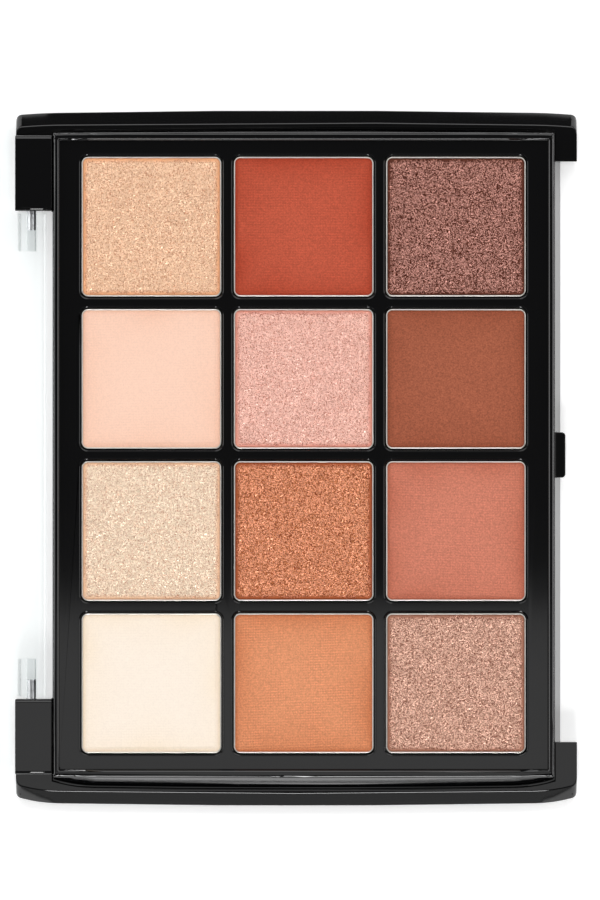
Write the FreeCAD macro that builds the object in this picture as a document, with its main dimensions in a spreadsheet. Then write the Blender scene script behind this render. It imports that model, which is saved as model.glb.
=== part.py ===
# Eyeshadow palette: a black base shell with hinge towers, a pan tray with twelve square wells,
# metal pans of pressed powder, and a clear lid that swings on two steel pins.
# Millimetres. X runs from the hinge side to the catch side, Y along the rows, Z up from the table.
# The origin is under the middle of the pan grid, on the flat bottom of the base.
import FreeCAD, Part
import math
import os
import Sketcher

os.makedirs("parts", exist_ok=True)
doc = FreeCAD.newDocument("eyeshadow_palette")

# Driving sizes, one cell each
SIZES = {
    "columns": 3,
    "rows": 4,
    "pan_size": 22.0,
    "pan_height": 3.0,
    "pan_wall": 0.2,
    "pan_corner": 1.0,
    "pan_foot_radius": 0.4,
    "pan_gap": 2.0,
    "pan_recess": 0.2,
    "cake_border": 1.1,
    "cake_rise": 0.3,
    "cake_below_rim": 0.25,
    "glue_thick": 0.3,
    "glue_diameter": 10.0,
    "well_clearance": 0.2,
    "well_wall": 0.8,
    "well_chamfer": 0.15,
    "tray_floor": 0.8,
    "deck_height": 8.2,
    "deck_thick": 1.2,
    "deck_margin_x": 3.5,
    "deck_margin_y": 2.6,
    "lip_width_x": 1.0,
    "lip_width_y": 1.2,
    "lip_height": 1.0,
    "lip_round": 0.45,
    "skirt_slope": 1.3,
    "skirt_wall": 1.2,
    "skirt_foot": 4.6,
    "seam_gap": 0.2,
    "land_width": 0.7,
    "land_height": 5.0,
    "bevel_run": 2.0,
    "bevel_foot": 3.1,
    "foot_round": 0.6,
    "bow_radius": 2000.0,
    "corner_radius": 24.0,
    "far_corner_radius": 90.0,
    "corner_run": 6.6,
    "corner_round": 1.0,
    "near_shift": 0.5,
    "lip_bow_radius": 12000.0,
    "lip_corner_radius": 3000.0,
    "hinge_margin": 6.0,
    "front_margin": 3.7,
    "side_gap": 0.2,
    "front_draft": 1.0,
    "base_floor": 1.2,
    "base_wall": 1.2,
    "rib_thick": 1.2,
    "tower_length": 11.9,
    "tower_top": 9.0,
    "ear_length": 4.5,
    "block_ledge": 2.65,
    "block_round": 0.55,
    "catch_length": 7.2,
    "catch_reach": 1.7,
    "catch_top": 4.2,
    "catch_height": 2.0,
    "catch_round": 0.6,
    "axis_inset": 2.5,
    "axis_height": 6.2,
    "pin_diameter": 1.5,
    "pin_play": 0.05,
    "pin_reach": 3.0,
    "pin_sunk": 0.3,
    "knuckle_diameter": 4.4,
    "knuckle_length": 6.0,
    "hinge_play": 0.3,
    "lid_plate": 1.5,
    "lid_wall": 1.4,
    "lid_inset": 0.15,
    "lid_seat_gap": 0.25,
    "lid_tray_gap": 0.3,
    "lid_corner_room": 0.6,
    "lid_lean": 0.4,
    "lid_edge_round": 0.8,
    "lid_back_round": 2.2,
    "front_wall_foot": 0.8,
    "hinge_wall_drop": 1.5,
    "bead_height": 0.8,
    "bead_bite": 0.2,
    "bead_gap": 0.2,
    "thumb_length": 14.0,
    "thumb_height": 0.8,
}

sheet = doc.addObject("Spreadsheet::Sheet", "sizes")
for line, (alias, size) in enumerate(SIZES.items(), start=1):
    sheet.set(f"A{line}", str(size))
    sheet.setAlias(f"A{line}", alias)
doc.recompute()


def of_sheet(formula):
    """Write a formula in the sheet's words, so that a property can be bound to it."""
    words = formula.replace("(", " ( ").replace(")", " ) ").split()
    return " ".join(f"sizes.{word}" if word in SIZES else word for word in words)


def value(formula):
    """Give the present number of a formula in the sheet's words."""
    return float(sheet.evalExpression(of_sheet(formula)))


def bind(thing, name, formula):
    """Tie a property or a named constraint to a formula in the sheet's words."""
    thing.setExpression(name, of_sheet(formula))


# Sizes that follow from the driving ones
PITCH = "( pan_size + pan_gap )"
GRID_X = f"( ( columns - 1 ) * {PITCH} + pan_size )"
GRID_Y = f"( ( rows - 1 ) * {PITCH} + pan_size )"
DECK_X = f"( {GRID_X} + 2 * deck_margin_x )"
DECK_Y = f"( {GRID_Y} + 2 * deck_margin_y )"
TRAY_X = f"( {DECK_X} + 2 * lip_width_x )"
LIP_Y = f"( {DECK_Y} + 2 * lip_width_y )"
SKIRT_Y = f"( {LIP_Y} + 2 * skirt_slope )"
REBATE_X = f"( {TRAY_X} + 2 * seam_gap )"
REBATE_Y = f"( {SKIRT_Y} + 2 * seam_gap )"
LAND_Y = f"( {REBATE_Y} + 2 * land_width )"
BASE_Y = f"( {LAND_Y} + 2 * bevel_run )"
BASE_X = f"( {TRAY_X} + hinge_margin + front_margin )"
BASE_MID = "( ( front_margin - hinge_margin ) / 2 )"
BASE_LEFT = f"( {TRAY_X} / 2 + hinge_margin )"
BASE_RIGHT = f"( {TRAY_X} / 2 + front_margin )"
WALL_X = f"( {TRAY_X} / 2 + side_gap )"
LIP_TOP = "( deck_height + lip_height )"
PAN_FOOT = "( deck_height - pan_recess - pan_height )"
PAN_TOP = "( deck_height - pan_recess )"
WELL_FLOOR = f"( {PAN_FOOT} - glue_thick )"
TRAY_FOOT = f"( {WELL_FLOOR} - tray_floor )"
CAKE_SIZE = "( pan_size - 2 * pan_wall )"
CAKE_EDGE = f"( {PAN_TOP} - cake_below_rim )"
AXIS_X = f"( {BASE_LEFT} - axis_inset )"
LID_TOP = "( 2 * axis_height )"
LID_CEILING = f"( {LID_TOP} - lid_plate )"
LID_SEAT = "( land_height + lid_seat_gap )"
LID_X = f"( {BASE_X} - 2 * lid_inset )"
LID_LEFT = f"( {BASE_LEFT} - lid_inset )"
LID_RIGHT = f"( {BASE_RIGHT} - lid_inset )"
LID_Y = f"( {LAND_Y} - 2 * lid_inset )"
BLOCK_OUTER = f"( {LAND_Y} / 2 - block_ledge )"
TOWER_INNER = f"( {BLOCK_OUTER} - tower_length )"
EAR_INNER = f"( {BLOCK_OUTER} - ear_length )"
LID_END = f"( {TOWER_INNER} - hinge_play )"
NEAR_EAR = f"( near_shift - {EAR_INNER} )"
FAR_EAR = f"( {EAR_INNER} + near_shift )"
CATCH_TIP = f"( {WALL_X} + catch_reach )"
NEARER = "( 0 - near_shift )"


# Sketches and features

def origin_plane(body, role):
    """Find one of a body's own origin planes or axes."""
    return next(item for item in body.Origin.OriginFeatures if item.Role == role)


def new_sketch(body, name, height="0", shift="0", role="XY_Plane", forward="0"):
    """Start a sketch on an origin plane, raised and shifted both ways by formulas."""
    sketch = body.newObject("Sketcher::SketchObject", name)
    sketch.AttachmentSupport = [(origin_plane(body, role), "")]
    sketch.MapMode = "FlatFace"
    bind(sketch, "AttachmentOffset.Base.z", height)
    bind(sketch, "AttachmentOffset.Base.x", shift)
    bind(sketch, "AttachmentOffset.Base.y", forward)
    return sketch


def measure(sketch, name, kind, places, formula):
    """Add a named dimension to a sketch and tie it to a formula."""
    index = sketch.addConstraint(Sketcher.Constraint(kind, *places, value(formula)))
    sketch.renameConstraint(index, name)
    bind(sketch, f"Constraints.{name}", formula)


def rectangle(sketch, wide, tall):
    """Draw a rectangle about the sketch's origin."""
    half_x = value(wide) / 2
    half_y = value(tall) / 2
    corners = [(-half_x, -half_y), (half_x, -half_y), (half_x, half_y), (-half_x, half_y)]
    points = [FreeCAD.Vector(x, y, 0) for x, y in corners]
    for start in range(4):
        sketch.addGeometry(Part.LineSegment(points[start], points[(start + 1) % 4]), False)
    for side in range(4):
        sketch.addConstraint(Sketcher.Constraint("Coincident", side, 2, (side + 1) % 4, 1))
    for side in (0, 2):
        sketch.addConstraint(Sketcher.Constraint("Horizontal", side))
    for side in (1, 3):
        sketch.addConstraint(Sketcher.Constraint("Vertical", side))
    sketch.addConstraint(Sketcher.Constraint("Symmetric", 0, 1, 2, 1, -1, 1))
    measure(sketch, "wide", "DistanceX", (0, 1, 0, 2), wide)
    measure(sketch, "tall", "DistanceY", (1, 1, 1, 2), tall)


def span(sketch, left, right, low, high):
    """Draw a rectangle between two signed limits each way, moved there by the sketch's offset."""
    bind(sketch, "AttachmentOffset.Base.x", f"( {left} + {right} ) / 2")
    bind(sketch, "AttachmentOffset.Base.y", f"( {low} + {high} ) / 2")
    rectangle(sketch, f"( {right} - {left} )", f"( {high} - {low} )")


def circle(sketch, diameter):
    """Draw a circle on the sketch's origin."""
    sketch.addGeometry(Part.Circle(FreeCAD.Vector(), FreeCAD.Vector(0, 0, 1), value(diameter) / 2), False)
    sketch.addConstraint(Sketcher.Constraint("Coincident", 0, 3, -1, 1))
    measure(sketch, "across", "Diameter", (0,), diameter)


def rounded_square(sketch, size, radius):
    """Draw a square with rounded corners about the sketch's origin."""
    half = value(size) / 2
    round_off = value(radius)
    flat = half - round_off
    for turn in range(4):
        angle = turn * math.pi / 2
        spin = FreeCAD.Rotation(FreeCAD.Vector(0, 0, 1), math.degrees(angle))
        start = spin.multVec(FreeCAD.Vector(-flat, -half, 0))
        end = spin.multVec(FreeCAD.Vector(flat, -half, 0))
        middle = spin.multVec(FreeCAD.Vector(flat, -flat, 0))
        sketch.addGeometry(Part.LineSegment(start, end), False)
        ring = Part.Circle(middle, FreeCAD.Vector(0, 0, 1), round_off)
        sketch.addGeometry(Part.ArcOfCircle(ring, angle - math.pi / 2, angle), False)
    for turn in range(4):
        side = 2 * turn
        sketch.addConstraint(Sketcher.Constraint("Tangent", side, 2, side + 1, 1))
        sketch.addConstraint(Sketcher.Constraint("Tangent", side + 1, 2, (side + 2) % 8, 1))
        if turn:
            sketch.addConstraint(Sketcher.Constraint("Equal", 1, side + 1))
    sketch.addConstraint(Sketcher.Constraint("Horizontal", 0))
    sketch.addConstraint(Sketcher.Constraint("Symmetric", 1, 3, 5, 3, -1, 1))
    measure(sketch, "corner", "Radius", (1,), radius)
    measure(sketch, "wide", "DistanceX", (7, 1, 1, 2), size)
    measure(sketch, "tall", "DistanceY", (1, 1, 3, 2), size)


def bowed_outline(
    sketch, long, wide, bow_size="bow_radius", near_size="corner_radius", far_size="far_corner_radius"
):
    """Draw the palette's plan: straight sides, gently bowed ends and corner arcs, rounder at the near end."""
    half_x = value(wide) / 2
    bow = value(bow_size)
    knee = half_x - value("corner_run")
    bow_angle = math.asin(knee / bow)
    bow_middle = FreeCAD.Vector(0, value(long) / 2 - bow, 0)
    knee_y = bow_middle.y + bow * math.cos(bow_angle)
    up = FreeCAD.Vector(0, 0, 1)
    right_angle = math.pi / 2

    def corner(size):
        """Give the radius, middle, end angle and end height of a corner arc."""
        turn = value(size)
        middle = FreeCAD.Vector(knee - turn * math.sin(bow_angle), knee_y - turn * math.cos(bow_angle), 0)
        angle = math.asin((half_x - middle.x) / turn)
        return turn, middle, angle, middle.y + turn * math.cos(angle)

    far_y = corner(far_size)[3]
    near_y = corner(near_size)[3]
    # Counter-clockwise: right side, far right arc, far bow, far left arc, and the same again half a turn on
    for size, sign, half_turn in ((far_size, 1, 0), (near_size, -1, math.pi)):
        turn, turn_middle, side_angle, side_y = corner(size)
        foot = FreeCAD.Vector(sign * half_x, -near_y if sign == 1 else far_y, 0)
        head = FreeCAD.Vector(sign * half_x, sign * side_y, 0)
        sketch.addGeometry(Part.LineSegment(foot, head), False)
        first = Part.Circle(turn_middle * sign, up, turn)
        last = Part.Circle(FreeCAD.Vector(-turn_middle.x, turn_middle.y, 0) * sign, up, turn)
        crown = Part.Circle(bow_middle * sign, up, bow)
        start = right_angle - side_angle + half_turn
        knee_start = right_angle - bow_angle + half_turn
        knee_end = right_angle + bow_angle + half_turn
        end = right_angle + side_angle + half_turn
        sketch.addGeometry(Part.ArcOfCircle(first, start, knee_start), False)
        sketch.addGeometry(Part.ArcOfCircle(crown, knee_start, knee_end), False)
        sketch.addGeometry(Part.ArcOfCircle(last, knee_end, end), False)
    for side in (0, 4):
        sketch.addConstraint(Sketcher.Constraint("Vertical", side))
        sketch.addConstraint(Sketcher.Constraint("Coincident", side, 2, side + 1, 1))
        sketch.addConstraint(Sketcher.Constraint("Tangent", side + 1, 2, side + 2, 1))
        sketch.addConstraint(Sketcher.Constraint("Tangent", side + 2, 2, side + 3, 1))
        sketch.addConstraint(Sketcher.Constraint("Coincident", side + 3, 2, (side + 4) % 8, 1))
        sketch.addConstraint(Sketcher.Constraint("PointOnObject", side + 2, 3, -2))
        sketch.addConstraint(Sketcher.Constraint("Equal", side + 1, side + 3))
    sketch.addConstraint(Sketcher.Constraint("Equal", 2, 6))
    sketch.addConstraint(Sketcher.Constraint("Symmetric", 0, 1, 4, 2, -2))
    measure(sketch, "bow", "Radius", (2,), bow_size)
    measure(sketch, "far_turn", "Radius", (1,), far_size)
    measure(sketch, "near_turn", "Radius", (5,), near_size)
    measure(sketch, "wide", "DistanceX", (4, 1, 0, 2), wide)
    measure(sketch, "far_crown", "DistanceY", (2, 3, -1, 1), f"( {bow_size} - {long} / 2 )")
    measure(sketch, "crowns", "DistanceY", (2, 3, 6, 3), f"( 2 * {bow_size} - {long} )")
    measure(sketch, "far_right", "DistanceX", (1, 2, 1, 1), "corner_run")
    measure(sketch, "far_left", "DistanceX", (3, 2, 3, 1), "corner_run")
    measure(sketch, "near_left", "DistanceX", (5, 1, 5, 2), "corner_run")


def lip_outline(sketch, long, wide):
    """Draw the tray's lip: straight sides and ends that are all but straight."""
    bowed_outline(sketch, long, wide, "lip_bow_radius", "lip_corner_radius", "lip_corner_radius")


def feature(body, kind, name, sketch, length=None, reverse=False, middle=False):
    """Add a pad, pocket or other sketched feature to a body."""
    made = body.newObject(f"PartDesign::{kind}", name)
    made.Profile = sketch
    if length is not None:
        bind(made, "Length", length)
    made.Reversed = reverse
    if middle:
        made.Midplane = True
    sketch.Visibility = False
    return made


def loft(body, kind, name, low, high):
    """Join two sketches of a body with straight rulings."""
    made = body.newObject(f"PartDesign::{kind}Loft", name)
    made.Profile = low
    made.Sections = [high]
    made.Ruled = True
    return made


def edges_where(shape, test):
    """List the names of the edges whose ends and middle all pass a test."""
    found = []
    for index, edge in enumerate(shape.Edges, start=1):
        middle = edge.valueAt((edge.FirstParameter + edge.LastParameter) / 2)
        points = [vertex.Point for vertex in edge.Vertexes] + [middle]
        if all(test(point) for point in points):
            found.append(f"Edge{index}")
    return found


def dress(body, kind, name, size, test):
    """Fillet or chamfer the edges of a body's newest feature that pass a test."""
    doc.recompute()
    support = body.Tip
    names = edges_where(support.Shape, test)
    made = body.newObject(f"PartDesign::{kind}", name)
    made.Base = (support, names)
    bind(made, "Radius" if kind == "Fillet" else "Size", size)
    return made


def round_off(body, name, across, inward, height, radius):
    """Cut a long top edge of a body to a quarter round, all along Y."""
    sketch = new_sketch(body, f"{name}_plan", "0", across, "XZ_Plane")
    bind(sketch, "AttachmentOffset.Base.y", height)
    size = value(radius)
    corner = FreeCAD.Vector()
    flat = FreeCAD.Vector(inward * size, 0, 0)
    drop = FreeCAD.Vector(0, -size, 0)
    ring = Part.Circle(flat + drop, FreeCAD.Vector(0, 0, 1), size)
    start = math.pi / 2 if inward == 1 else 0
    sketch.addGeometry(Part.LineSegment(corner, flat), False)
    sketch.addGeometry(Part.ArcOfCircle(ring, start, start + math.pi / 2), False)
    sketch.addGeometry(Part.LineSegment(drop, corner), False)
    flat_end, drop_end = (1, 2) if inward == 1 else (2, 1)
    sketch.addConstraint(Sketcher.Constraint("Coincident", 0, 1, -1, 1))
    sketch.addConstraint(Sketcher.Constraint("Coincident", 2, 2, -1, 1))
    sketch.addConstraint(Sketcher.Constraint("Horizontal", 0))
    sketch.addConstraint(Sketcher.Constraint("Vertical", 2))
    sketch.addConstraint(Sketcher.Constraint("Tangent", 0, 2, 1, flat_end))
    sketch.addConstraint(Sketcher.Constraint("Tangent", 2, 1, 1, drop_end))
    measure(sketch, "round", "Radius", (1,), radius)
    feature(body, "Pocket", name, sketch, BASE_Y, middle=True)


def near(number, formula):
    """Say whether a coordinate lies on a formula's number."""
    return abs(number - value(formula)) < 0.01


# Base shell

base = doc.addObject("PartDesign::Body", "base_shell")

foot_sketch = new_sketch(base, "foot_plan", shift=BASE_MID, forward=NEARER)
bowed_outline(foot_sketch, BASE_Y, BASE_X)
feature(base, "Pad", "foot", foot_sketch, "bevel_foot")

bevel_low = new_sketch(base, "bevel_low", "bevel_foot", BASE_MID, forward=NEARER)
bowed_outline(bevel_low, BASE_Y, BASE_X)
bevel_high = new_sketch(base, "bevel_high", "land_height", BASE_MID, forward=NEARER)
bowed_outline(bevel_high, LAND_Y, BASE_X)
loft(base, "Additive", "bevel", bevel_low, bevel_high)

corner_reach = value(BASE_Y) / 2 - 2 * value("bevel_run") - value("corner_run")


def on_corner(point):
    """Pick the upright edges where the bowed ends meet the sides."""
    left = near(point.x, f"0 - {BASE_LEFT}")
    right = near(point.x, BASE_RIGHT)
    return (left or right) and abs(point.y) > corner_reach


dress(base, "Fillet", "corner_rounds", "corner_round", on_corner)
dress(base, "Fillet", "foot_rounds", "foot_round", lambda point: near(point.z, "0"))

hinge_gap = new_sketch(base, "hinge_gap_plan", "0 - 1")
span(hinge_gap, f"( 0 - {BASE_LEFT} - 1 )", f"( 0 - {WALL_X} )", f"( 0 - {TOWER_INNER} )", TOWER_INNER)
feature(base, "Pocket", "hinge_gap", hinge_gap, "tower_top + 2", reverse=True)

front_low = new_sketch(base, "front_gap_low")
span(front_low, f"( {WALL_X} + front_draft )", f"( {BASE_RIGHT} + 1 )", NEAR_EAR, FAR_EAR)
front_high = new_sketch(base, "front_gap_high", "land_height")
span(front_high, WALL_X, f"( {BASE_RIGHT} + 1 )", NEAR_EAR, FAR_EAR)
loft(base, "Subtractive", "front_gap", front_low, front_high)

rebate = new_sketch(base, "rebate_plan", "skirt_foot", forward=NEARER)
bowed_outline(rebate, REBATE_Y, REBATE_X)
feature(base, "Pocket", "tray_rebate", rebate, "tower_top", reverse=True)

cavity = new_sketch(base, "cavity_plan", "base_floor")
rectangle(cavity, f"( 2 * {WALL_X} - 2 * base_wall )", f"( {LIP_Y} - 4 * base_wall )")
feature(base, "Pocket", "cavity", cavity, "skirt_foot", reverse=True)

for column in range(SIZES["columns"]):
    rib = new_sketch(base, f"rib_{column + 1}_plan", "base_floor")
    rib_x = f"( {column} - ( columns - 1 ) / 2 ) * {PITCH}"
    rectangle(rib, "rib_thick", f"( {LIP_Y} - 4 * base_wall )")
    bind(rib, "AttachmentOffset.Base.x", rib_x)
    feature(base, "Pad", f"rib_{column + 1}", rib, f"( {TRAY_FOOT} - base_floor )")

catch = new_sketch(base, "catch_plan", "catch_top - catch_height")
span(catch, f"( {WALL_X} - base_wall / 2 )", CATCH_TIP, "( 0 - catch_length / 2 )", "( catch_length / 2 )")
feature(base, "Pad", "catch", catch, "catch_height")
dress(
    base, "Fillet", "catch_corners", "catch_round",
    lambda point: near(point.x, CATCH_TIP) and near(abs(point.y), "catch_length / 2"),
)
for end, sign in (("upper", "1"), ("lower", "-1")):
    tower = new_sketch(base, f"{end}_tower_plan", "land_height - 1")
    inner = f"( {sign} * {TOWER_INNER} )"
    outer = f"( {sign} * {BLOCK_OUTER} )"
    low, high = (inner, outer) if sign == "1" else (outer, inner)
    span(tower, f"( 0 - {BASE_LEFT} )", f"( 0 - {REBATE_X} / 2 )", low, high)
    feature(base, "Pad", f"{end}_tower", tower, "tower_top - land_height + 1")

dress(
    base, "Fillet", "tower_rounds", "block_round",
    lambda point: near(point.z, "tower_top")
    and any(near(abs(point.y), end) for end in (TOWER_INNER, BLOCK_OUTER)),
)

pin_bore = new_sketch(base, "pin_bore_plan", shift=f"( 0 - {AXIS_X} )", role="XZ_Plane")
bind(pin_bore, "AttachmentOffset.Base.y", "axis_height")
circle(pin_bore, "pin_diameter")
feature(base, "Pocket", "pin_bores", pin_bore, f"2 * {BLOCK_OUTER} + 1", middle=True)


# Pan tray

tray = doc.addObject("PartDesign::Body", "pan_tray")

skirt_low = new_sketch(tray, "skirt_low", "skirt_foot", forward=NEARER)
bowed_outline(skirt_low, SKIRT_Y, TRAY_X)
skirt_high = new_sketch(tray, "skirt_high", LIP_TOP)
lip_outline(skirt_high, LIP_Y, TRAY_X)
loft(tray, "Additive", "skirt", skirt_low, skirt_high)

deck = new_sketch(tray, "deck_plan", "deck_height")
lip_outline(deck, DECK_Y, DECK_X)
feature(tray, "Pocket", "deck_recess", deck, "lip_height + 1", reverse=True)
dress(tray, "Fillet", "lip_rounds", "lip_round", lambda point: near(point.z, LIP_TOP))

hollow = new_sketch(tray, "hollow_plan", "deck_height - deck_thick")
bowed_outline(hollow, f"( {SKIRT_Y} - 2 * skirt_wall - 2 * skirt_slope )", f"( {TRAY_X} - 2 * skirt_wall )")
feature(tray, "Pocket", "hollow", hollow, "deck_height")

block = new_sketch(tray, "well_block_plan", TRAY_FOOT)
rectangle(
    block,
    f"( {GRID_X} + 2 * well_clearance + 2 * well_wall )",
    f"( {GRID_Y} + 2 * well_clearance + 2 * well_wall )",
)
feature(tray, "Pad", "well_block", block, f"( deck_height - deck_thick / 2 - {TRAY_FOOT} )")

WELL = "( pan_size + 2 * well_clearance )"
WELL_CORNER = "( pan_corner + well_clearance )"
FIRST_X = f"( 0 - ( columns - 1 ) / 2 * {PITCH} )"
FIRST_Y = f"( 0 - ( rows - 1 ) / 2 * {PITCH} )"


def first_well(name, height, size, corner):
    """Draw the outline of the well in the first row and column."""
    sketch = new_sketch(tray, name, height, FIRST_X)
    bind(sketch, "AttachmentOffset.Base.y", FIRST_Y)
    rounded_square(sketch, size, corner)
    return sketch


well = first_well("well_plan", WELL_FLOOR, WELL, WELL_CORNER)
well_pocket = feature(tray, "Pocket", "well", well, "deck_height", reverse=True)
edge_low = first_well("well_edge_low", "deck_height - well_chamfer", WELL, WELL_CORNER)
edge_high = first_well(
    "well_edge_high", "deck_height", f"( {WELL} + 2 * well_chamfer )", f"( {WELL_CORNER} + well_chamfer )"
)
well_edge = loft(tray, "Subtractive", "well_edge", edge_low, edge_high)
doc.recompute()

wells = tray.newObject("PartDesign::LinearPattern", "wells")
wells.Originals = [well_pocket, well_edge]
wells.Direction = (origin_plane(tray, "X_Axis"), [""])
bind(wells, "Occurrences", "columns")
bind(wells, "Length", f"( columns - 1 ) * {PITCH}")
wells.Direction2 = (origin_plane(tray, "Y_Axis"), [""])
bind(wells, "Occurrences2", "rows")
bind(wells, "Length2", f"( rows - 1 ) * {PITCH}")
tray.Tip = wells


# Pans, pressed powders and glue dots

def grid_place(thing, row, column):
    """Put a piece on its place in the pan grid, rows counted from the far end."""
    bind(thing, "Placement.Base.x", f"( {column} - ( columns - 1 ) / 2 ) * {PITCH}")
    bind(thing, "Placement.Base.y", f"( ( rows - 1 ) / 2 - {row} ) * {PITCH}")


glue_dots = []
powders = []
for row in range(SIZES["rows"]):
    for column in range(SIZES["columns"]):
        place = f"row_{row + 1}_column_{column + 1}"

        pan = doc.addObject("PartDesign::Body", f"pan_{place}")
        outside = new_sketch(pan, f"pan_outside_{place}", PAN_FOOT)
        rounded_square(outside, "pan_size", "pan_corner")
        feature(pan, "Pad", f"pan_block_{place}", outside, "pan_height")
        dress(pan, "Fillet", f"pan_foot_{place}", "pan_foot_radius", lambda point: near(point.z, PAN_FOOT))
        inside = new_sketch(pan, f"pan_inside_{place}", f"( {PAN_FOOT} + pan_wall )")
        rounded_square(inside, CAKE_SIZE, "( pan_corner - pan_wall )")
        feature(pan, "Pocket", f"pan_hollow_{place}", inside, "pan_height", reverse=True)
        grid_place(pan, row, column)

        powder = doc.addObject("PartDesign::Body", f"powder_{place}")
        cake = new_sketch(powder, f"cake_plan_{place}", f"( {PAN_FOOT} + pan_wall )")
        rounded_square(cake, CAKE_SIZE, "( pan_corner - pan_wall )")
        feature(powder, "Pad", f"cake_{place}", cake, f"( {CAKE_EDGE} - {PAN_FOOT} - pan_wall )")
        slope_low = new_sketch(powder, f"slope_low_{place}", CAKE_EDGE)
        rounded_square(slope_low, CAKE_SIZE, "( pan_corner - pan_wall )")
        slope_high = new_sketch(powder, f"slope_high_{place}", f"( {CAKE_EDGE} + cake_rise )")
        rounded_square(slope_high, f"( {CAKE_SIZE} - 2 * cake_border )", "( pan_corner - pan_wall )")
        loft(powder, "Additive", f"slope_{place}", slope_low, slope_high)
        grid_place(powder, row, column)
        powders.append(powder)

        dot = doc.addObject("Part::Cylinder", f"glue_{place}")
        bind(dot, "Radius", "glue_diameter / 2")
        bind(dot, "Height", "glue_thick")
        grid_place(dot, row, column)
        bind(dot, "Placement.Base.z", WELL_FLOOR)
        glue_dots.append(dot)

glue = doc.addObject("Part::Compound", "pan_glue_dots")
glue.Links = glue_dots


# Hinge pins

pins = []
for end, sign in (("upper", 1), ("lower", -1)):
    pin = doc.addObject("Part::Cylinder", f"hinge_pin_{end}")
    bind(pin, "Radius", "pin_diameter / 2")
    bind(pin, "Height", f"{BLOCK_OUTER} - pin_sunk - {TOWER_INNER} + pin_reach")
    pin.Placement.Rotation = FreeCAD.Rotation(FreeCAD.Vector(1, 0, 0), -90 * sign)
    bind(pin, "Placement.Base.x", f"0 - {AXIS_X}")
    bind(pin, "Placement.Base.y", f"{sign} * ( {TOWER_INNER} - pin_reach )")
    bind(pin, "Placement.Base.z", "axis_height")
    pins.append(pin)


# Lid, drawn shut and then swung open half a turn about the hinge axis

lid = doc.addObject("PartDesign::Body", "lid")

shell_low = new_sketch(lid, "lid_shell_low", LID_SEAT, BASE_MID, forward=NEARER)
bowed_outline(shell_low, LID_Y, LID_X)
shell_high = new_sketch(lid, "lid_shell_high", LID_TOP, BASE_MID)
bowed_outline(shell_high, f"( {LID_Y} - 2 * lid_lean )", LID_X)
loft(lid, "Additive", "lid_shell", shell_low, shell_high)
round_off(lid, "lid_back_round", f"( 0 - {LID_LEFT} )", 1, LID_TOP, "lid_back_round")
round_off(lid, "lid_front_round", LID_RIGHT, -1, LID_TOP, "lid_edge_round")

room_low = new_sketch(lid, "lid_room_low", LID_SEAT, BASE_MID, forward=NEARER)
bowed_outline(room_low, f"( {SKIRT_Y} + 2 * lid_tray_gap )", f"( {LID_X} - 2 * lid_wall )")
room_high = new_sketch(lid, "lid_room_high", LID_CEILING, BASE_MID)
ROOM_HIGH = f"( {LIP_Y} + 2 * lid_tray_gap + 2 * lid_corner_room )"
bowed_outline(room_high, ROOM_HIGH, f"( {LID_X} - 2 * lid_wall )")
loft(lid, "Subtractive", "lid_room", room_low, room_high)

front_wall = new_sketch(lid, "front_wall_plan", "front_wall_foot")
span(
    front_wall, f"( {LID_RIGHT} - lid_wall )", LID_RIGHT,
    f"( {NEAR_EAR} + hinge_play )", f"( {FAR_EAR} - hinge_play )",
)
feature(lid, "Pad", "front_wall", front_wall, f"( {LID_CEILING} - front_wall_foot )")

hinge_wall = new_sketch(lid, "hinge_wall_plan", "axis_height - hinge_wall_drop")
span(hinge_wall, f"( 0 - {LID_LEFT} )", f"( 0 - {LID_LEFT} + lid_wall )", f"( 0 - {LID_END} )", LID_END)
feature(lid, "Pad", "hinge_wall", hinge_wall, f"( {LID_SEAT} - axis_height + hinge_wall_drop + lid_wall )")

for end, sign in (("upper", "1"), ("lower", "-1")):
    inner = f"( {sign} * {LID_END} )"
    beyond = f"( {sign} * ( {BASE_Y} / 2 + 1 ) )"
    low, high = (inner, beyond) if sign == "1" else (beyond, inner)
    notch = new_sketch(lid, f"{end}_notch_plan")
    span(notch, f"( 0 - {BASE_LEFT} - 1 )", f"( 0 - {WALL_X} )", low, high)
    feature(lid, "Pocket", f"{end}_notch", notch, f"{LID_TOP} + 1", reverse=True)

    cheek = new_sketch(lid, f"{end}_cheek_plan", f"( {LIP_TOP} + lid_tray_gap )")
    outer = f"( {sign} * ( {LIP_Y} / 2 - 1 ) )"
    low, high = (inner, outer) if sign == "1" else (outer, inner)
    span(cheek, f"( 0 - {WALL_X} )", f"( 0 - {WALL_X} + lid_wall )", low, high)
    feature(lid, "Pad", f"{end}_cheek", cheek, f"( {LID_CEILING} - {LIP_TOP} - lid_tray_gap + 0.5 )")

    shoulder = new_sketch(lid, f"{end}_shoulder_plan", f"( {LIP_TOP} + lid_tray_gap )")
    behind = f"( {sign} * ( {LID_END} - lid_wall ) )"
    low, high = (behind, inner) if sign == "1" else (inner, behind)
    span(shoulder, f"( 0 - {LID_LEFT} + lid_wall / 2 )", f"( 0 - {WALL_X} + lid_wall )", low, high)
    feature(lid, "Pad", f"{end}_shoulder", shoulder, f"( {LID_CEILING} - {LIP_TOP} - lid_tray_gap + 0.5 )")

    face = f"( {sign} * -1 * {LID_END} )"
    knuckle = new_sketch(lid, f"{end}_knuckle_plan", face, f"( 0 - {AXIS_X} )", "XZ_Plane")
    bind(knuckle, "AttachmentOffset.Base.y", "axis_height")
    circle(knuckle, "knuckle_diameter")
    feature(lid, "Pad", f"{end}_knuckle", knuckle, "knuckle_length", reverse=(sign == "-1"))

lid_bore = new_sketch(lid, "lid_bore_plan", shift=f"( 0 - {AXIS_X} )", role="XZ_Plane")
bind(lid_bore, "AttachmentOffset.Base.y", "axis_height")
circle(lid_bore, "( pin_diameter + 2 * pin_play )")
feature(lid, "Pocket", "lid_bores", lid_bore, f"2 * {TOWER_INNER}", middle=True)

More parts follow.
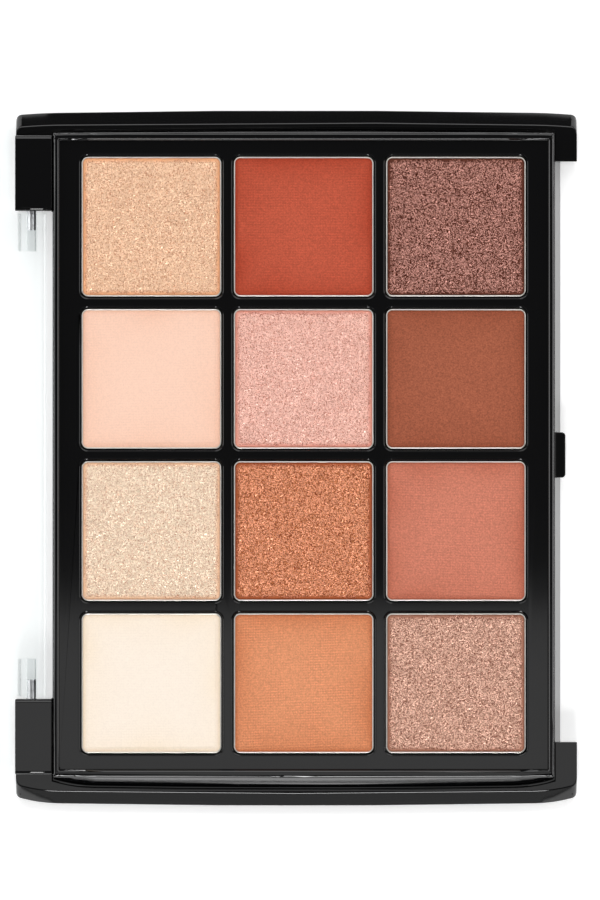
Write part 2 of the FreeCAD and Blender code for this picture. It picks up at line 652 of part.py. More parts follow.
bead = new_sketch(lid, "snap_bead_plan", "catch_top - catch_height - bead_gap - bead_height")
span(
    bead, f"( {CATCH_TIP} - bead_bite )", f"( {LID_RIGHT} - lid_wall / 2 )",
    "( 0 - catch_length / 2 )", "( catch_length / 2 )",
)
feature(lid, "Pad", "snap_bead", bead, "bead_height")

thumb = new_sketch(lid, "thumb_plan", "front_wall_foot")
span(
    thumb, f"( {LID_RIGHT} - lid_wall / 2 )", f"( {LID_RIGHT} + 1 )",
    "( 0 - thumb_length / 2 )", "( thumb_length / 2 )",
)
feature(lid, "Pocket", "thumb_notch", thumb, "thumb_height", reverse=True)

lid.Placement.Rotation = FreeCAD.Rotation(FreeCAD.Vector(0, 1, 0), 180)
bind(lid, "Placement.Base.x", f"-2 * {AXIS_X}")
bind(lid, "Placement.Base.z", "2 * axis_height")


# Check and write every piece

doc.recompute()
bodies = [item for item in doc.Objects if item.TypeId == "PartDesign::Body"]
pans = [body for body in bodies if body.Name.startswith("pan_row")]
pieces = [base, tray, lid, glue] + pins + powders + pans
for item in doc.Objects:
    if "Invalid" in item.State or "Error" in item.State:
        raise RuntimeError(f"{item.Name} did not rebuild: {item.State}")
for piece in pieces:
    if piece.Shape.isNull() or not piece.Shape.isValid():
        raise RuntimeError(f"{piece.Label} has no valid solid")
    piece.Shape.exportStep(f"parts/{piece.Label}.step")
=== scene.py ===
"""Eyeshadow palette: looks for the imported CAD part, laid out as a Blender add-on."""

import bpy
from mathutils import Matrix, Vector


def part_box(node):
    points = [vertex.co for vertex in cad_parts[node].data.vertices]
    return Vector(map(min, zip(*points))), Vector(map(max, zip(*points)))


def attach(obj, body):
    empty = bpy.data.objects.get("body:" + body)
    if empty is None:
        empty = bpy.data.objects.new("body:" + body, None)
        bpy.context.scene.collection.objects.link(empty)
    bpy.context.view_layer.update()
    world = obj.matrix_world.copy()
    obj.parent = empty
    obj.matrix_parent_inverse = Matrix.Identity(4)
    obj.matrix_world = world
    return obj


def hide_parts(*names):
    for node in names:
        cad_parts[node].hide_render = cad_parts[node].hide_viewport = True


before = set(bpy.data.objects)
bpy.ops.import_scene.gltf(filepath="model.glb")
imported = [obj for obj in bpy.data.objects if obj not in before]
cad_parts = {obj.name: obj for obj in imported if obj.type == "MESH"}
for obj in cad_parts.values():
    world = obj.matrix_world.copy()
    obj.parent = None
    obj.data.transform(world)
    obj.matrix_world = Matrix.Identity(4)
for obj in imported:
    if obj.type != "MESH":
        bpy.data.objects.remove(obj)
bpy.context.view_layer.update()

import math

import bmesh
import bpy
import numpy as np
from bpy.props import FloatProperty, FloatVectorProperty, IntProperty, PointerProperty
from mathutils import Vector
from mathutils.bvhtree import BVHTree

bl_info = {
    "name": "Eyeshadow Palette",
    "version": (1, 0, 0),
    "blender": (4, 5, 0),
    "location": "View3D > Sidebar > Palette",
    "description": "Builds the looks of a twelve-pan eyeshadow palette around its CAD frame",
    "category": "Object",
}

MM = 0.001
BASE_BODY = "base"
LID_BODY = "lid"

# Each shade by row and column: record slot, colour of the flat top, colour of the border with its painted
# shade, contrast of its flakes (none on a matt shade), strength of the press cloth's print (none on a
# shimmering one), and strength of the pigment's grain
SHADES = {
    (1, 1): ("powder_gold", "#FDD4AF", "#F1AF82", 0.56, 0.0, 1.0),
    (1, 2): ("powder_brick", "#BE5840", "#A83F28", 0.0, 2.0, 2.4),
    (1, 3): ("powder_mauve_brown", "#764638", "#5C2F22", 1.1, 0.0, 1.0),
    (2, 1): ("powder_peach", "#FDD4BE", "#F6C6AD", 0.0, 0.4, 0.6),
    (2, 2): ("powder_pink", "#FDC9B8", "#E49987", 0.62, 0.0, 1.0),
    (2, 3): ("powder_brown", "#A45D44", "#924D35", 0.0, 0.8, 3.0),
    (3, 1): ("powder_champagne", "#FDE7CC", "#F3C4A0", 0.46, 0.0, 1.0),
    (3, 2): ("powder_copper", "#CF8052", "#A55331", 1.0, 0.0, 1.0),
    (3, 3): ("powder_dusty_rose", "#CF8069", "#B76750", 0.0, 1.4, 2.2),
    (4, 1): ("powder_cream", "#FDEFE0", "#FAE7CF", 0.0, 0.3, 0.4),
    (4, 2): ("powder_tan", "#E0966D", "#C9784F", 0.0, 2.4, 2.0),
    (4, 3): ("powder_rose_taupe", "#C2957F", "#A6715C", 0.95, 0.0, 1.0),
}

# Rounding of moulded and drawn edges: angles in degrees, lengths in millimetres
SHARP_ANGLE = 28.0
FLAT_ANGLE = 0.5
EDGE_SEGMENTS = 2
WELD_REACH = 0.001
STRAY_SHARE = 0.6
PROUD_SKIN = 0.002
FACE_WEIGHT = 100

# How many swells each unevenness of a cake has along its side
BORDER_SWELLS = 14
TOP_SWELLS = 5
PRINT_SWELLS = 7
DRIFT_SWELLS = 9
SIDE_SWELLS = 4

# Heights and widths of a cake's unevenness in millimetres
TOP_UNEVEN = 0.015
SKIN_UNEVEN = 0.012
CRUMB_LIMIT = 0.02
CRUMB_FADE = 0.15
WANDER_FADE = 0.6
PROUD_LIMIT = 0.05

# The press cloth: its cross threads against the others, how its threads drift (in radians), the mean and
# the spread of its print, and how deep the print sinks in heights of a thread
CROSS_STRENGTH = 0.5
CROSS_COUNT = 1.07
THREAD_DRIFT = 0.6
PRINT_MEAN = 0.55
PRINT_SPREAD = 0.45
PRINT_SINK = 0.8

# Tone of a cake's border, painted shade where it sinks below the pan's rim, with its rougher powder, and
# the mean and the spread of a matt cake's tone along its sides
BORDER_SHADE_TONE = 1.15
SIDE_MEAN = 0.8
SIDE_SPREAD = 0.4

# Where flakes lie: on faces that look up at least so far, and where the border's tone is below this
LEAST_UPWARD = 0.4
BORDER_LIMIT = 0.65
FLAKE_CORNERS = 4

# Tones of flakes: how fast red, green and blue fall in the deepest, the brightest channel and the share
# of white in the palest, the share of deep flakes without contrast, and the darkest channel divided by.
# The deepest tones partly stand in for unlit flakes, as painted shade, and the whitened palest tones for
# glints, as painted highlight
DEEP_POWERS = (0.5, 1.0, 1.25)
BRIGHTEST = 0.98
GLINT_WHITE_SHARE = 0.15
LEAST_DEEP = 0.3
DARKEST = 0.001

# Settings of the colour mix node, and the sockets that go by number because their names repeat
COLOUR_MIX = {"data_type": "RGBA", "blend_type": "MIX"}
COLOUR_MULTIPLY = {"data_type": "RGBA", "blend_type": "MULTIPLY"}
MIX_FACTOR = 0
MIX_FIRST = 6
MIX_SECOND = 7
MIX_RESULT = 2
VECTOR_LOW = 0
VECTOR_HIGH = 1
VECTOR_RESULT = 0
FLOAT_LOW = 2
FLOAT_HIGH = 3
FLOAT_RESULT = 1


# Colours and node building

def linear(hex_colour):
    """Turn an sRGB hex colour into linear RGBA."""
    channels = [int(hex_colour[place:place + 2], 16) / 255 for place in (1, 3, 5)]
    spread = [c / 12.92 if c <= 0.04045 else ((c + 0.055) / 1.055) ** 2.4 for c in channels]
    return (*spread, 1.0)


def new_material(name):
    """Start a node material and give back the material, its tree and its main shader."""
    material = bpy.data.materials.new(name)
    material.use_nodes = True
    tree = material.node_tree
    return material, tree, tree.nodes["Principled BSDF"]


def fill(tree, node, inputs):
    """Give each input of a node a constant, or a link from another node's output."""
    for key, given in inputs.items():
        if isinstance(given, bpy.types.NodeSocket):
            tree.links.new(given, node.inputs[key])
        else:
            node.inputs[key].default_value = given


def add_node(tree, kind, settings=None, inputs=None):
    """Add a node with its settings, its constants and its links."""
    node = tree.nodes.new(kind)
    for name, value in (settings or {}).items():
        setattr(node, name, value)
    fill(tree, node, inputs or {})
    return node


# Materials, each named for what it is made of

def black_gloss_plastic(settings):
    """Styrene moulded in a polished mould: deep black, with sharp reflections that waver slightly."""
    material, tree, shader = new_material("black_gloss_plastic")
    ripple_mm = 9.0
    spread = 0.3
    place = add_node(tree, "ShaderNodeTexCoord")
    ripple = add_node(tree, "ShaderNodeTexNoise", inputs={
        "Vector": place.outputs["Object"], "Scale": 1 / (ripple_mm * MM), "Detail": 2.0,
    })
    gloss = add_node(tree, "ShaderNodeMapRange", inputs={
        "Value": ripple.outputs["Fac"],
        "To Min": settings.roughness * (1 - spread),
        "To Max": settings.roughness * (1 + spread),
    })
    fill(tree, shader, {
        "Base Color": settings.plastic_colour, "IOR": 1.52, "Roughness": gloss.outputs["Result"],
    })
    return material


def clear_plastic(settings):
    """Clear moulded styrene: see-through, with a thin mirror skin that grows at grazing angles."""
    material, tree, shader = new_material("clear_plastic")
    tree.nodes.remove(shader)
    fresnel = add_node(tree, "ShaderNodeFresnel", inputs={"IOR": 1.35})
    share = add_node(tree, "ShaderNodeMapRange", inputs={
        "Value": fresnel.outputs["Fac"], "To Min": 0.0, "To Max": settings.lid_skin,
    })
    through = add_node(tree, "ShaderNodeBsdfTransparent", inputs={"Color": settings.lid_tint})
    skin = add_node(tree, "ShaderNodeBsdfGlossy", inputs={
        "Color": linear("#FFFFFF"), "Roughness": settings.lid_roughness,
    })
    both = add_node(tree, "ShaderNodeMixShader", inputs={
        "Fac": share.outputs["Result"], 1: through.outputs["BSDF"], 2: skin.outputs["BSDF"],
    })
    fill(tree, tree.nodes["Material Output"], {"Surface": both.outputs["Shader"]})
    return material


def plain_metal(name, colour, roughness):
    """Plain drawn metal: a silvery satin that is a little uneven."""
    material, tree, shader = new_material(name)
    patch_mm = 0.8
    spread = 0.15
    place = add_node(tree, "ShaderNodeTexCoord")
    patches = add_node(tree, "ShaderNodeTexNoise", inputs={
        "Vector": place.outputs["Object"], "Scale": 1 / (patch_mm * MM), "Detail": 2.0,
    })
    satin = add_node(tree, "ShaderNodeMapRange", inputs={
        "Value": patches.outputs["Fac"],
        "To Min": roughness * (1 - spread),
        "To Max": roughness * (1 + spread),
    })
    fill(tree, shader, {"Base Color": colour, "Metallic": 1.0, "Roughness": satin.outputs["Result"]})
    return material


def hot_melt_glue(settings):
    """Hot-melt glue set as it was dotted: milky and half dull."""
    material, tree, shader = new_material("hot_melt_glue")
    fill(tree, shader, {"Base Color": settings.glue_colour, "Roughness": 0.5})
    return material


def pressed_powder(slot, top, border, weave, grain_strength, settings):
    """Pigment pressed under cloth: dull, fine-grained, painted shade on its border and in the print's
    hollows.
    """
    material, tree, shader = new_material(slot)
    edge = add_node(tree, "ShaderNodeAttribute", {"attribute_name": "border"})
    toned = add_node(tree, "ShaderNodeMix", COLOUR_MIX, {
        MIX_FACTOR: edge.outputs["Fac"], MIX_FIRST: top, MIX_SECOND: border,
    })
    if weave:
        # Painted shade in the print's hollows and painted light on its ridges
        swing = settings.hollow_shade_depth * weave / 2
        hollow = add_node(tree, "ShaderNodeAttribute", {"attribute_name": "hollow"})
        print_shade = add_node(tree, "ShaderNodeMapRange", inputs={
            "Value": hollow.outputs["Fac"], "From Min": -0.5, "From Max": 0.5,
            "To Min": 1.0 + swing, "To Max": 1.0 - swing,
        })
        toned = add_node(tree, "ShaderNodeMix", COLOUR_MULTIPLY, {
            MIX_FACTOR: 1.0, MIX_FIRST: toned.outputs[MIX_RESULT], MIX_SECOND: print_shade.outputs["Result"],
        })
    # Real pigment is finer than a pixel, so its grain is drawn as coarse as it needs to show
    uneven = settings.mottle * grain_strength
    place = add_node(tree, "ShaderNodeTexCoord")
    grain = add_node(tree, "ShaderNodeTexNoise", inputs={
        "Vector": place.outputs["Object"], "Scale": 1 / (settings.grain * MM), "Detail": 3.0,
    })
    mottle = add_node(tree, "ShaderNodeMapRange", inputs={
        "Value": grain.outputs["Fac"], "From Min": 0.3, "From Max": 0.7,
        "To Min": 1.0 - uneven, "To Max": 1.0 + uneven,
    })
    grained = add_node(tree, "ShaderNodeMix", COLOUR_MULTIPLY, {
        MIX_FACTOR: 1.0, MIX_FIRST: toned.outputs[MIX_RESULT], MIX_SECOND: mottle.outputs["Result"],
    })
    bump = add_node(tree, "ShaderNodeBump", inputs={
        "Strength": 0.25, "Distance": settings.grain_height * MM, "Height": grain.outputs["Fac"],
    })
    fill(tree, shader, {
        "Base Color": grained.outputs[MIX_RESULT], "Roughness": 0.9, "Specular IOR Level": 0.2,
        "Normal": bump.outputs["Normal"],
    })
    return material


def pearl_flakes(slot, top, border, contrast, settings):
    """Mica flakes coated with pigment: a half metallic glint, each flake in a tone from deep to pale."""
    material, tree, shader = new_material(slot.replace("powder", "pearl"))
    shade = top[:3]
    # Deep tones are partly painted shade of unlit flakes, and whitened pale tones partly painted glints
    fall = math.exp(settings.flake_spread * contrast)
    deep = [channel / fall ** power for channel, power in zip(shade, DEEP_POWERS)]
    lift = min(1 + settings.flake_lift * contrast, BRIGHTEST / max(shade))
    pale = [channel * lift + GLINT_WHITE_SHARE * contrast * (1 - channel * lift) for channel in shade]
    tone = add_node(tree, "ShaderNodeAttribute", {"attribute_name": "tone"})
    ramp = add_node(tree, "ShaderNodeValToRGB", inputs={"Fac": tone.outputs["Fac"]})
    steps = ramp.color_ramp.elements
    steps[0].position = settings.flake_deep * (LEAST_DEEP + (1 - LEAST_DEEP) * contrast)
    steps[1].position = 1 - settings.flake_pale
    steps[0].color = (*deep, 1.0)
    steps[1].color = (*pale, 1.0)
    edge = add_node(tree, "ShaderNodeAttribute", {"attribute_name": "border"})
    # The border's painted shade deepens the flakes there too
    border_shade = [rim / max(flat, DARKEST) for rim, flat in zip(border[:3], shade)]
    border_shading = add_node(tree, "ShaderNodeMix", COLOUR_MIX, {
        MIX_FACTOR: edge.outputs["Fac"], MIX_FIRST: linear("#FFFFFF"), MIX_SECOND: (*border_shade, 1.0),
    })
    toned = add_node(tree, "ShaderNodeMix", COLOUR_MULTIPLY, {
        MIX_FACTOR: 1.0, MIX_FIRST: ramp.outputs["Color"], MIX_SECOND: border_shading.outputs[MIX_RESULT],
    })
    fill(tree, shader, {
        "Base Color": toned.outputs[MIX_RESULT], "Metallic": settings.flake_metal,
        "Roughness": settings.flake_roughness, "Specular IOR Level": 0.1,
    })
    return material


def white_paper(settings):
    """Matt white studio paper, over-lit a little where it is seen, also in gloss and through the lid."""
    material, tree, shader = new_material("white_paper")
    path = add_node(tree, "ShaderNodeLightPath")
    seen = path.outputs["Is Camera Ray"]
    for ray in ("Is Glossy Ray", "Is Transmission Ray"):
        either = add_node(tree, "ShaderNodeMath", {"operation": "MAXIMUM"}, {0: seen, 1: path.outputs[ray]})
        seen = either.outputs["Value"]
    glow = add_node(tree, "ShaderNodeMapRange", inputs={
        "Value": seen, "To Min": 0.0, "To Max": settings.floor_lift,
    })
    fill(tree, shader, {
        "Base Color": settings.paper_colour, "Roughness": 1.0, "Specular IOR Level": 0.0,
        "Emission Color": linear("#FFFFFF"), "Emission Strength": glow.outputs["Result"],
    })
    return material


# Meshes

def new_piece(name, mesh, body, replaced, slot, *materials):
    """Link a finished mesh as a piece that rides on a body and stands for CAD nodes."""
    for material in materials:
        mesh.materials.append(material)
    piece = bpy.data.objects.new(name, mesh)
    bpy.context.scene.collection.objects.link(piece)
    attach(piece, body)
    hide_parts(*replaced)


def refinish(node, material):
    """Give a new material to a CAD node that is shown as it is."""
    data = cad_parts[node].data
    data.materials.clear()
    data.materials.append(material)


def shaped_by(mesh, name, kind, settings, inputs):
    """Run a modifier over a mesh and give back the plain mesh that it makes."""
    carrier = bpy.data.objects.new(f"{mesh.name}_carrier", mesh)
    bpy.context.scene.collection.objects.link(carrier)
    modifier = carrier.modifiers.new(name, kind)
    for setting, value in settings.items():
        setattr(modifier, setting, value)
    for identifier, value in inputs.items():
        modifier[identifier] = value
    shown = carrier.evaluated_get(bpy.context.evaluated_depsgraph_get())
    made = bpy.data.meshes.new_from_object(shown)
    made.name = name
    carrier.modifiers.remove(modifier)
    bpy.data.objects.remove(carrier)
    return made


def softened_mesh(node, width_mm):
    """Copy a CAD node's mesh, join its loose triangles and round its sharp edges."""
    work = bmesh.new()
    work.from_mesh(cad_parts[node].data)
    bmesh.ops.remove_doubles(work, verts=work.verts, dist=WELD_REACH * MM)
    flat = math.radians(FLAT_ANGLE)
    bmesh.ops.dissolve_limit(work, angle_limit=flat, verts=work.verts, edges=work.edges)
    limit = math.radians(SHARP_ANGLE)
    sharp = [edge for edge in work.edges if edge.is_manifold and edge.calc_face_angle(0.0) > limit]
    moulded = BVHTree.FromBMesh(work)
    bmesh.ops.bevel(
        work, geom=sharp, offset=width_mm * MM, segments=EDGE_SEGMENTS, profile=0.5,
        affect="EDGES", clamp_overlap=False, loop_slide=True, harden_normals=False,
    )
    # Where a corner is too tight for the rounding, stray points go back onto the moulded surface
    for vert in work.verts:
        spot, normal, _, away = moulded.find_nearest(vert.co)
        if away > STRAY_SHARE * width_mm * MM or (vert.co - spot).dot(normal) > PROUD_SKIN * MM:
            vert.co = spot
    for face in work.faces:
        face.smooth = True
    bmesh.ops.recalc_face_normals(work, faces=work.faces)
    mesh = bpy.data.meshes.new(f"{node}_softened")
    work.to_mesh(mesh)
    work.free()
    mesh.set_sharp_from_angle(angle=limit)
    # Normals weighted by area keep large faces flat beside their rounded edges
    weights = {"weight": FACE_WEIGHT, "keep_sharp": True}
    return shaped_by(mesh, f"{mesh.name}_shaded", "WEIGHTED_NORMAL", weights, {})


def eased(part):
    """Ease a share from 0 to 1 in and out."""
    return part * part * (3 - 2 * part)


def smooth_field(rng, across, cells):
    """Give a smooth random field from -1 to 1 on a square grid."""
    knots = rng.uniform(-1.0, 1.0, (cells + 2, cells + 2))
    along = np.linspace(0, cells, across)
    low = np.minimum(along.astype(int), cells)
    part = eased(along - low)
    rows = knots[low] * (1 - part)[:, None] + knots[low + 1] * part[:, None]
    return rows[:, low] * (1 - part) + rows[:, low + 1] * part


def rounded_grid(half, corner, across):
    """Give the points of a square grid, with those beyond the rounded corners drawn in onto the arc."""
    line = np.linspace(-half, half, across)
    x, y = np.meshgrid(line, line, indexing="ij")
    over_x = np.maximum(np.abs(x) - (half - corner), 0)
    over_y = np.maximum(np.abs(y) - (half - corner), 0)
    pull = corner / np.maximum(np.hypot(over_x, over_y), corner)
    x = np.sign(x) * (np.minimum(np.abs(x), half - corner) + over_x * pull)
    y = np.sign(y) * (np.minimum(np.abs(y), half - corner) + over_y * pull)
    return x, y


def edge_distance(x, y, half, corner):
    """Give the distance inward from the outline of a rounded square."""
    over_x = np.abs(x) - (half - corner)
    over_y = np.abs(y) - (half - corner)
    outside = np.hypot(np.maximum(over_x, 0), np.maximum(over_y, 0))
    return corner - outside - np.minimum(np.maximum(over_x, over_y), 0)


def cloth_print(rng, x, y, across, settings):
    """Give the height of the press cloth's threads over a cake, and how well each patch took the print."""
    patch = PRINT_MEAN + PRINT_SPREAD * smooth_field(rng, across, PRINT_SWELLS)
    drift = smooth_field(rng, across, DRIFT_SWELLS) * THREAD_DRIFT
    wave = 2 * math.pi / (settings.weave_pitch * MM)
    lean = rng.uniform(-1.0, 1.0) * settings.cloth_turn
    crossing = CROSS_STRENGTH * np.sin(x * wave * CROSS_COUNT + drift)
    threads = crossing + np.sin((y + x * lean) * wave + drift[::-1])
    return threads, patch


def closed_cake(name, points, across, foot):
    """Close a grid of top points with walls and a flat foot; give the mesh and its count of rim points."""
    index = np.arange(across * across).reshape(across, across)
    quads = np.stack([index[:-1, :-1], index[1:, :-1], index[1:, 1:], index[:-1, 1:]], axis=-1)
    quads = quads.reshape(-1, 4)
    rim = np.concatenate([index[:-1, 0], index[-1, :-1], index[:0:-1, -1], index[0, :0:-1]])
    floor = points[rim].copy()
    floor[:, 2] = foot
    below = np.arange(len(points), len(points) + len(rim))
    walls = np.stack([rim, below, np.roll(below, -1), np.roll(rim, -1)], axis=-1)
    faces = quads.tolist() + walls.tolist() + [below[::-1].tolist()]
    mesh = bpy.data.meshes.new(name)
    mesh.from_pydata(np.concatenate([points, floor]).tolist(), [], faces)
    mesh.polygons.foreach_set("use_smooth", [True] * len(quads) + [False] * (len(walls) + 1))
    return mesh, len(rim)


def store_tone(mesh, name, top_tones, foot_tones):
    """Keep one number for each point of a cake, first those of its top and then those of its foot."""
    tones = np.concatenate([top_tones.reshape(-1), foot_tones])
    attribute = mesh.attributes.new(name, "FLOAT", "POINT")
    attribute.data.foreach_set("value", tones.astype(np.float32))


def cake_mesh(name, box, across, seed, settings, weave):
    """Build a pressed cake: soft shoulders, a border with painted shade and, on matt shades, the cloth's
    print.
    """
    low, high = box
    half = (high[0] - low[0]) / 2
    corner = settings.corner * MM
    x, y = rounded_grid(half, corner, across)
    inward = edge_distance(x, y, half, corner)

    # The top rises from its border over an uneven shoulder, and crumbs lie along the border
    rng = np.random.default_rng(seed)
    wander = smooth_field(rng, across, BORDER_SWELLS) * settings.border_wander * MM
    wander = wander * np.minimum(inward / (WANDER_FADE * MM), 1)
    rise = eased(np.clip((inward + wander) / (settings.shoulder * MM), 0, 1))
    top = high[2]
    edge = top - settings.cake_rise * MM
    height = edge + (top - edge) * rise
    height = height + smooth_field(rng, across, TOP_SWELLS) * TOP_UNEVEN * MM * rise
    crumbs = smooth_field(rng, across, across // 3) * (1 - rise) * settings.crumb * MM
    height = height + np.minimum(crumbs, CRUMB_LIMIT * MM) * np.minimum(inward / (CRUMB_FADE * MM), 1)
    # The border's tone is painted shade where the cake sinks below the pan's rim, with its rougher powder
    border = np.clip(BORDER_SHADE_TONE - BORDER_SHADE_TONE * rise, 0, 1)
    hollow = np.zeros_like(rise)
    if weave:
        threads, patch = cloth_print(rng, x, y, across, settings)
        # The hollows' tone goes to the material, which paints shade into the print's hollows and light on its
        # ridges
        hollow = -threads / (2 * (1 + CROSS_STRENGTH)) * patch * rise
        depth = settings.weave_depth * weave * MM
        height = height + (threads - PRINT_SINK) * patch * depth * rise
        uneven = SIDE_MEAN + SIDE_SPREAD * smooth_field(rng, across, SIDE_SWELLS)
        side = settings.side_tone * uneven * np.exp(-inward / (settings.side_reach * MM))
        border = np.clip(np.maximum(border, side), 0, 1)
    else:
        height = height + smooth_field(rng, across, across // 2) * SKIN_UNEVEN * MM
    height = np.minimum(height, top + PROUD_LIMIT * MM)

    middle_x = (high[0] + low[0]) / 2
    middle_y = (high[1] + low[1]) / 2
    points = np.stack([x + middle_x, y + middle_y, height], axis=-1).reshape(-1, 3)
    mesh, rim_count = closed_cake(name, points, across, low[2])
    store_tone(mesh, "border", border, np.ones(rim_count))
    store_tone(mesh, "hollow", hollow, np.zeros(rim_count))
    mesh.update()
    return mesh


def flake_nodes():
    """Build the geometry nodes that strew tilted mica flakes over a cake's top."""
    group = bpy.data.node_groups.new("strew_flakes", "GeometryNodeTree")
    face = group.interface
    face.new_socket("Geometry", in_out="INPUT", socket_type="NodeSocketGeometry")
    for name, kind in (
        ("Density", "NodeSocketFloat"), ("Smallest", "NodeSocketFloat"), ("Largest", "NodeSocketFloat"),
        ("Tilt", "NodeSocketFloat"), ("Seed", "NodeSocketInt"), ("Flake material", "NodeSocketMaterial"),
    ):
        face.new_socket(name, in_out="INPUT", socket_type=kind)
    face.new_socket("Geometry", in_out="OUTPUT", socket_type="NodeSocketGeometry")
    given = add_node(group, "NodeGroupInput").outputs

    # Points on the top alone, off the border with its painted shade
    normal = add_node(group, "GeometryNodeInputNormal")
    upward = add_node(group, "ShaderNodeSeparateXYZ", inputs={"Vector": normal.outputs["Normal"]})
    above = {"data_type": "FLOAT", "operation": "GREATER_THAN"}
    facing_up = add_node(group, "FunctionNodeCompare", above, {"A": upward.outputs["Z"], "B": LEAST_UPWARD})
    border = add_node(group, "GeometryNodeInputNamedAttribute", {"data_type": "FLOAT"}, {"Name": "border"})
    below = {"data_type": "FLOAT", "operation": "LESS_THAN"}
    off_border = add_node(group, "FunctionNodeCompare", below, {
        "A": border.outputs["Attribute"], "B": BORDER_LIMIT,
    })
    on_top = add_node(group, "FunctionNodeBooleanMath", {"operation": "AND"}, {
        0: facing_up.outputs["Result"], 1: off_border.outputs["Result"],
    })
    points = add_node(group, "GeometryNodeDistributePointsOnFaces", {"distribute_method": "RANDOM"}, {
        "Mesh": given["Geometry"], "Selection": on_top.outputs["Boolean"],
        "Density": given["Density"], "Seed": given["Seed"],
    })

    # One flake of unit width on each point, with a random size, tilt and turn
    flake = add_node(group, "GeometryNodeMeshCircle", {"fill_type": "NGON"}, {
        "Vertices": FLAKE_CORNERS, "Radius": 0.5,
    })
    size = add_node(group, "FunctionNodeRandomValue", {"data_type": "FLOAT"}, {
        FLOAT_LOW: given["Smallest"], FLOAT_HIGH: given["Largest"], "Seed": given["Seed"],
    })
    back = add_node(group, "ShaderNodeMath", {"operation": "MULTIPLY"}, {0: given["Tilt"], 1: -1.0})
    lowest = add_node(group, "ShaderNodeCombineXYZ", inputs={
        "X": back.outputs["Value"], "Y": back.outputs["Value"],
    })
    highest = add_node(group, "ShaderNodeCombineXYZ", inputs={
        "X": given["Tilt"], "Y": given["Tilt"], "Z": 2 * math.pi,
    })
    turn = add_node(group, "FunctionNodeRandomValue", {"data_type": "FLOAT_VECTOR"}, {
        VECTOR_LOW: lowest.outputs["Vector"], VECTOR_HIGH: highest.outputs["Vector"], "Seed": given["Seed"],
    })
    place = add_node(group, "GeometryNodeInstanceOnPoints", inputs={
        "Points": points.outputs["Points"], "Instance": flake.outputs["Mesh"],
        "Rotation": turn.outputs[VECTOR_RESULT], "Scale": size.outputs[FLOAT_RESULT],
    })

    # Each flake keeps a random tone for its material, and lies with the cake in one mesh
    tone = add_node(group, "FunctionNodeRandomValue", {"data_type": "FLOAT"}, {"Seed": given["Seed"]})
    kept = {"data_type": "FLOAT", "domain": "INSTANCE"}
    toned = add_node(group, "GeometryNodeStoreNamedAttribute", kept, {
        "Name": "tone", "Geometry": place.outputs["Instances"], "Value": tone.outputs[FLOAT_RESULT],
    })
    solid = add_node(group, "GeometryNodeRealizeInstances", inputs={"Geometry": toned.outputs["Geometry"]})
    coat = add_node(group, "GeometryNodeSetMaterial", inputs={
        "Geometry": solid.outputs["Geometry"], "Material": given["Flake material"],
    })
    both = add_node(group, "GeometryNodeJoinGeometry", inputs={"Geometry": given["Geometry"]})
    fill(group, both, {"Geometry": coat.outputs["Geometry"]})
    add_node(group, "NodeGroupOutput", inputs={"Geometry": both.outputs["Geometry"]})
    return group


def strewn_mesh(mesh, group, values):
    """Run the flake nodes over a cake's mesh, with their inputs given by name."""
    inputs = {
        item.identifier: values[item.name]
        for item in group.interface.items_tree
        if item.in_out == "INPUT" and item.name in values
    }
    return shaped_by(mesh, f"{mesh.name}_strewn", "NODES", {"node_group": group}, inputs)


# Settings

def colour_setting(name, description, hex_colour):
    """Make a setting that holds a colour."""
    return FloatVectorProperty(
        name=name, description=description, default=linear(hex_colour),
        size=4, min=0, max=1, subtype="COLOR")


def shade_settings():
    """Make two colour settings for each shade: its flat top and its border, deepened with painted shade."""
    made = {}
    for slot, top, border, *_ in SHADES.values():
        name = slot.replace("_", " ").capitalize()
        made[slot] = colour_setting(name, "Colour of this shade's flat top", top)
        border_shade_name = f"{name} border"
        made[f"{slot}_border"] = colour_setting(border_shade_name, "Colour of this shade's worn border", border)
    return made


class PALETTE_PG_plastic(bpy.types.PropertyGroup):
    """Finish of the mouldings."""
    plastic_colour: colour_setting("Plastic colour", "Colour of the black plastic", "#060607")
    lid_tint: colour_setting("Lid tint", "Tint of what is seen through the lid", "#FDFEFE")
    roughness: FloatProperty(
        name="Gloss roughness", description="Roughness of the black plastic",
        default=0.055, min=0, max=1, subtype="FACTOR")
    lid_roughness: FloatProperty(
        name="Lid roughness", description="Roughness of the clear lid",
        default=0.03, min=0, max=1, subtype="FACTOR")
    lid_skin: FloatProperty(
        name="Lid skin", description="Strength of the lid's mirror skin",
        default=0.3, min=0, max=1, subtype="FACTOR")
    edge_round: FloatProperty(
        name="Edge round", description="Rounding of moulded edges in millimetres", default=0.14)
    lid_round: FloatProperty(
        name="Lid edge round", description="Rounding of the lid's edges in millimetres", default=0.12)


class PALETTE_PG_shades(bpy.types.PropertyGroup):
    """Colours of the twelve powders."""
    __annotations__ = shade_settings()


